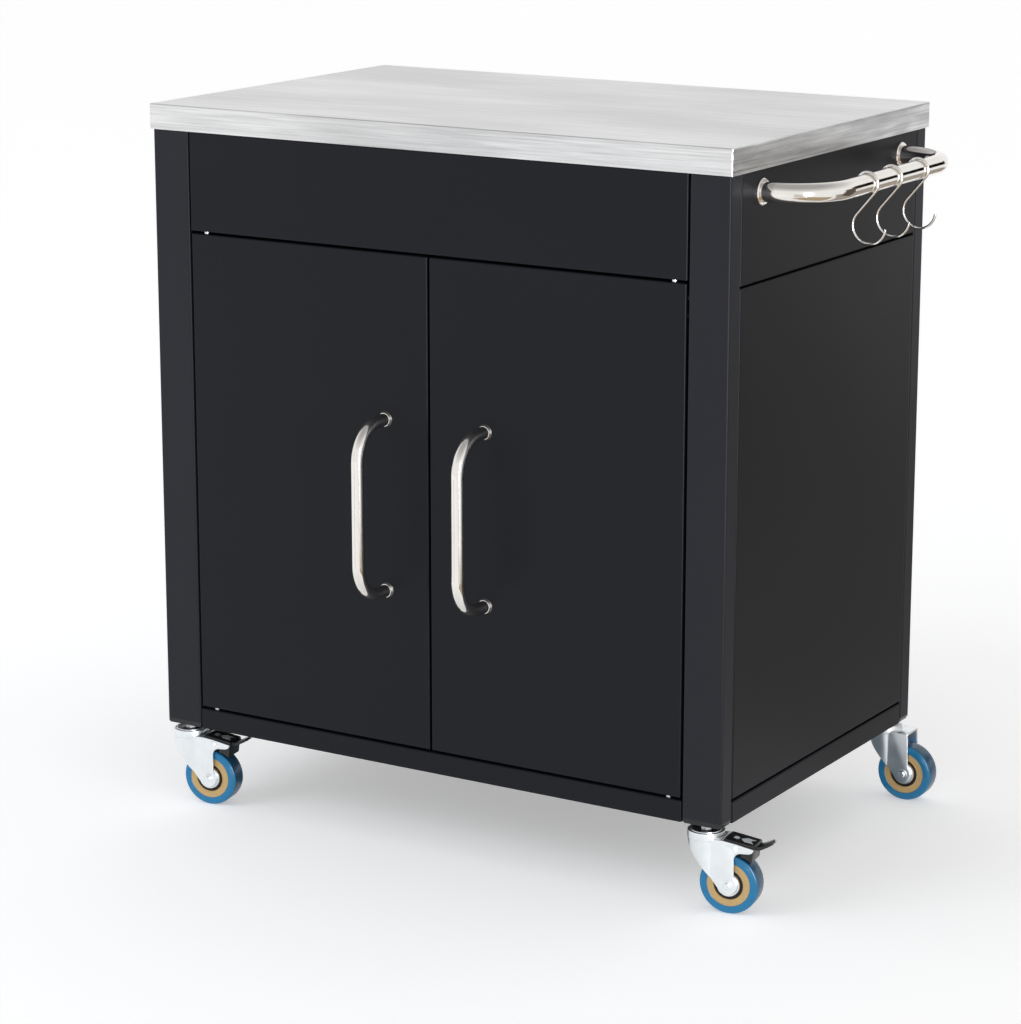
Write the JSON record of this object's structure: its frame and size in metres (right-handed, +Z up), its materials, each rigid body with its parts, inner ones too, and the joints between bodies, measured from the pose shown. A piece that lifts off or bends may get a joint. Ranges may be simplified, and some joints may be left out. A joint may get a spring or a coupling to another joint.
{
  "type": "kitchen cart",
  "caption": "Rectangular steel kitchen cart with a flat worktop, hinged doors, a side towel rail with hooks, and swivel casters.",
  "frame": {"origin": "middle of the whole object's outline on the floor", "axes": "+Z up, -Y towards the doors at the front, +X towards the towel rail"},
  "size_m": [0.8734, 0.5692, 0.865],
  "materials": {
    "brushed_steel": "brushed along the worktop's length",
    "core_board": "raw board",
    "black_powder_coat": "satin powder coat",
    "black_plastic": "satin moulded",
    "zinc_screws": "zinc plated",
    "bright_steel": "turned and plated",
    "chrome": "polished",
    "zinc_pressing": "bright zinc plate",
    "wheel_core": "moulded",
    "blue_tyre": "smooth elastic tread"
  },
  "bodies": {
    "cabinet": {"worktop_shell": "brushed_steel", "worktop_core": "core_board", "leg_front_left": "black_powder_coat", "leg_front_right": "black_powder_coat", "leg_rear_left": "black_powder_coat", "leg_rear_right": "black_powder_coat", "leg_plugs": "black_plastic", "front_apron": "black_powder_coat", "upper_side_left": "black_powder_coat", "upper_side_right": "black_powder_coat", "lower_side_left": "black_powder_coat", "lower_side_right": "black_powder_coat", "rear_panel": "black_powder_coat", "base_tray": "black_powder_coat", "middle_shelf": "black_powder_coat", "shelf_angles": "black_powder_coat", "cabinet_screws": "zinc_screws", "hinge_pins": "bright_steel", "magnet_catches": "black_plastic", "towel_rail": "chrome", "rail_flanges": "chrome", "caster_stems": "bright_steel", "dust_caps": "black_plastic", "swivel_balls": "bright_steel"},
    "door_left": {"door_left": "black_powder_coat", "handle_left": "chrome", "handle_screws_left": "zinc_screws", "pivot_brackets_left": "bright_steel"},
    "door_right": {"door_right": "black_powder_coat", "handle_right": "chrome", "handle_screws_right": "zinc_screws", "pivot_brackets_right": "bright_steel"},
    "hook_front": {"hook_front": "chrome"},
    "hook_middle": {"hook_middle": "chrome"},
    "hook_rear": {"hook_rear": "chrome"},
    "fork_front_left": {"fork_front_left": "zinc_pressing", "axle_front_left": "bright_steel", "guards_front_left": "zinc_pressing"},
    "wheel_front_left": {"core_front_left": "wheel_core", "tyre_front_left": "blue_tyre"},
    "brake_front_left": {"brake_pedal_front_left": "black_plastic", "brake_lever_front_left": "bright_steel"},
    "fork_front_right": {"fork_front_right": "zinc_pressing", "axle_front_right": "bright_steel", "guards_front_right": "zinc_pressing"},
    "wheel_front_right": {"core_front_right": "wheel_core", "tyre_front_right": "blue_tyre"},
    "brake_front_right": {"brake_pedal_front_right": "black_plastic", "brake_lever_front_right": "bright_steel"},
    "fork_rear_left": {"fork_rear_left": "zinc_pressing", "axle_rear_left": "bright_steel", "guards_rear_left": "zinc_pressing"},
    "wheel_rear_left": {"core_rear_left": "wheel_core", "tyre_rear_left": "blue_tyre"},
    "fork_rear_right": {"fork_rear_right": "zinc_pressing", "axle_rear_right": "bright_steel", "guards_rear_right": "zinc_pressing"},
    "wheel_rear_right": {"core_rear_right": "wheel_core", "tyre_rear_right": "blue_tyre"}
  },
  "joints": [
    {"name": "door_left_hinge", "type": "hinge", "parent": "cabinet", "child": "door_left", "pos_m": [-0.36269, -0.21175, 0.125], "axis": [0, 0, -1], "range_deg": [0, 110]},
    {"name": "door_right_hinge", "type": "hinge", "parent": "cabinet", "child": "door_right", "pos_m": [0.26931, -0.21175, 0.125], "axis": [0, 0, 1], "range_deg": [0, 110]},
    {"name": "hook_front_swing", "type": "hinge", "parent": "cabinet", "child": "hook_front", "pos_m": [0.41231, -0.03375, 0.81], "axis": [0, 1, 0], "range_deg": [-45, 45]},
    {"name": "hook_middle_swing", "type": "hinge", "parent": "cabinet", "child": "hook_middle", "pos_m": [0.41231, 0.02825, 0.81], "axis": [0, 1, 0], "range_deg": [-45, 45]},
    {"name": "hook_rear_swing", "type": "hinge", "parent": "cabinet", "child": "hook_rear", "pos_m": [0.41231, 0.09825, 0.81], "axis": [0, 1, 0], "range_deg": [-45, 45]},
    {"name": "swivel_front_left", "type": "hinge", "parent": "cabinet", "child": "fork_front_left", "pos_m": [-0.40869, -0.20625, 0.0875], "axis": [0, 0, 1], "continuous": true},
    {"name": "wheel_front_left_spin", "type": "hinge", "parent": "fork_front_left", "child": "wheel_front_left", "pos_m": [-0.37807, -0.2014, 0.035], "axis": [-0.1564, 0.9877, 0], "continuous": true},
    {"name": "brake_front_left_press", "type": "hinge", "parent": "fork_front_left", "child": "brake_front_left", "pos_m": [-0.36968, -0.20007, 0.0803], "axis": [-0.1564, 0.9877, 0], "range_deg": [0, 10]},
    {"name": "swivel_front_right", "type": "hinge", "parent": "cabinet", "child": "fork_front_right", "pos_m": [0.31531, -0.20625, 0.0875], "axis": [0, 0, 1], "continuous": true},
    {"name": "wheel_front_right_spin", "type": "hinge", "parent": "fork_front_right", "child": "wheel_front_right", "pos_m": [0.34593, -0.2014, 0.035], "axis": [-0.1564, 0.9877, 0], "continuous": true},
    {"name": "brake_front_right_press", "type": "hinge", "parent": "fork_front_right", "child": "brake_front_right", "pos_m": [0.35432, -0.20007, 0.0803], "axis": [-0.1564, 0.9877, 0], "range_deg": [0, 10]},
    {"name": "swivel_rear_left", "type": "hinge", "parent": "cabinet", "child": "fork_rear_left", "pos_m": [-0.40869, 0.26275, 0.0875], "axis": [0, 0, 1], "continuous": true},
    {"name": "wheel_rear_left_spin", "type": "hinge", "parent": "fork_rear_left", "child": "wheel_rear_left", "pos_m": [-0.37771, 0.26383, 0.035], "axis": [-0.0349, 0.9994, 0], "continuous": true},
    {"name": "swivel_rear_right", "type": "hinge", "parent": "cabinet", "child": "fork_rear_right", "pos_m": [0.31531, 0.26275, 0.0875], "axis": [0, 0, 1], "continuous": true},
    {"name": "wheel_rear_right_spin", "type": "hinge", "parent": "fork_rear_right", "child": "wheel_rear_right", "pos_m": [0.34629, 0.26383, 0.035], "axis": [-0.0349, 0.9994, 0], "continuous": true}
  ]
}
